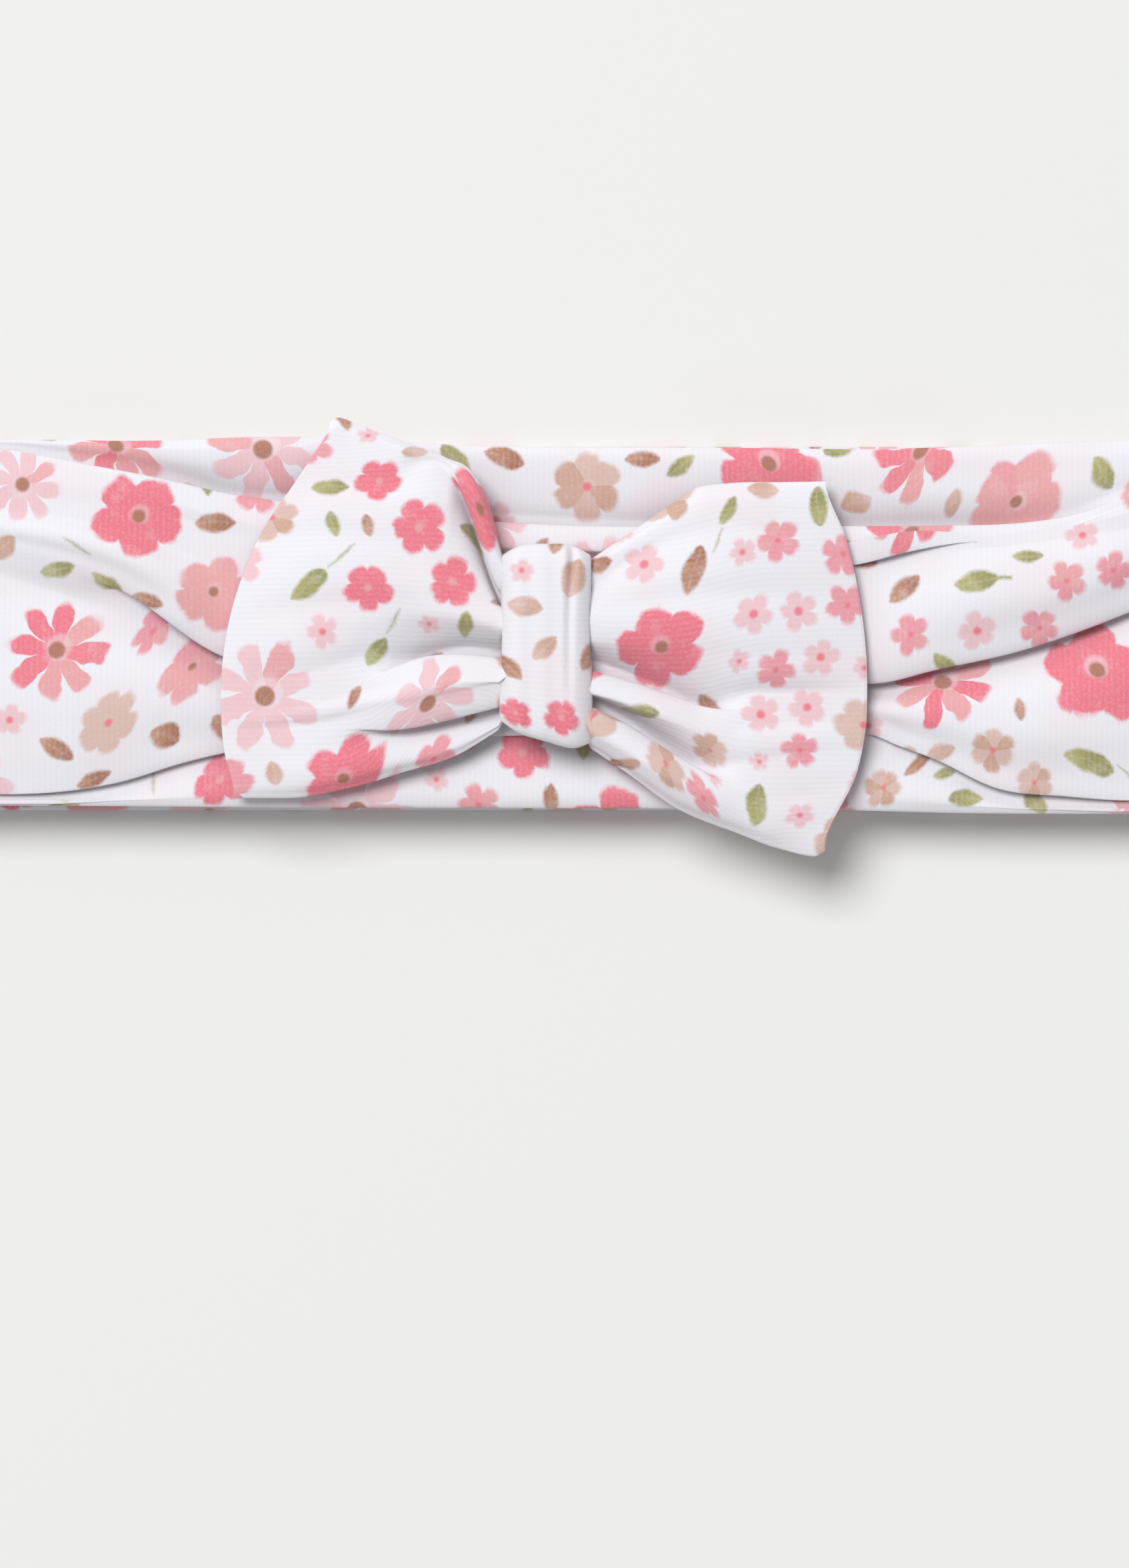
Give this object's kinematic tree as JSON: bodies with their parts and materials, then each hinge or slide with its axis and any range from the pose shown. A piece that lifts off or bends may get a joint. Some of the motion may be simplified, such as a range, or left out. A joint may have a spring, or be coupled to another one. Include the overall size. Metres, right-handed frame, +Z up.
{
  "type": "headband",
  "caption": "Soft knotted jersey headband: a doubled stretch loop with pleats drawn into a flat bow held by a wrapped knot.",
  "frame": {"origin": "under the middle of the whole object, on the surface it lies on", "axes": "+X along the flattened band towards the wearer's left end as seen from the front, +Y across the band to its upper edge, +Z up through the bow"},
  "size_m": [0.19, 0.0632, 0.0193],
  "materials": {
    "jersey_print": "soft cotton jersey, floral print on white, fine ribs across the band",
    "bow_jersey": "soft cotton jersey, the same floral print, ribs along the bow",
    "thread": "white sewing thread",
    "label_tape": "blank woven satin tape"
  },
  "bodies": {
    "band": {"outer_panel_front": "jersey_print", "inner_panel_front": "jersey_print", "outer_panel_back": "jersey_print", "inner_panel_back": "jersey_print", "edge_seams_centre": "jersey_print", "back_seam_allowance": "jersey_print", "back_seam_stitches": "thread", "care_label": "label_tape", "bow_tack_stitches": "thread", "knot_wrap": "bow_jersey", "knot_wrap_stitches": "thread", "bow_waist_front_ply": "bow_jersey", "bow_waist_back_ply": "bow_jersey"},
    "left_end": {"outer_panel_left": "jersey_print", "inner_panel_left": "jersey_print", "edge_seams_left": "jersey_print"},
    "left_wing": {"left_wing_front_ply": "bow_jersey", "left_wing_back_ply": "bow_jersey", "left_wing_edge_seam": "bow_jersey", "left_wing_root_gather": "bow_jersey"},
    "right_end": {"outer_panel_right": "jersey_print", "inner_panel_right": "jersey_print", "edge_seams_right": "jersey_print"},
    "right_wing": {"right_wing_front_ply": "bow_jersey", "right_wing_back_ply": "bow_jersey", "right_wing_edge_seam": "bow_jersey", "right_wing_root_gather": "bow_jersey"}
  },
  "joints": [
    {"name": "left_stretch", "type": "slide", "parent": "band", "child": "left_end", "axis": [-1, 0, 0], "range_m": [0, 0.02], "stiffness_N_per_m": 100},
    {"name": "right_stretch", "type": "slide", "parent": "band", "child": "right_end", "axis": [1, 0, 0], "range_m": [0, 0.02], "stiffness_N_per_m": 100},
    {"name": "left_wing_lift", "type": "hinge", "parent": "band", "child": "left_wing", "pos_m": [-0.00855, 0.0009, 0.0143], "axis": [0.1045, 0.9945, 0], "range_deg": [0, 60]},
    {"name": "right_wing_lift", "type": "hinge", "parent": "band", "child": "right_wing", "pos_m": [0.00855, -0.0009, 0.0143], "axis": [-0.1045, -0.9945, 0], "range_deg": [0, 60]}
  ],
  "couplings": [
    {"joint": "right_stretch", "follows": "left_stretch", "ratio": 1}
  ]
}
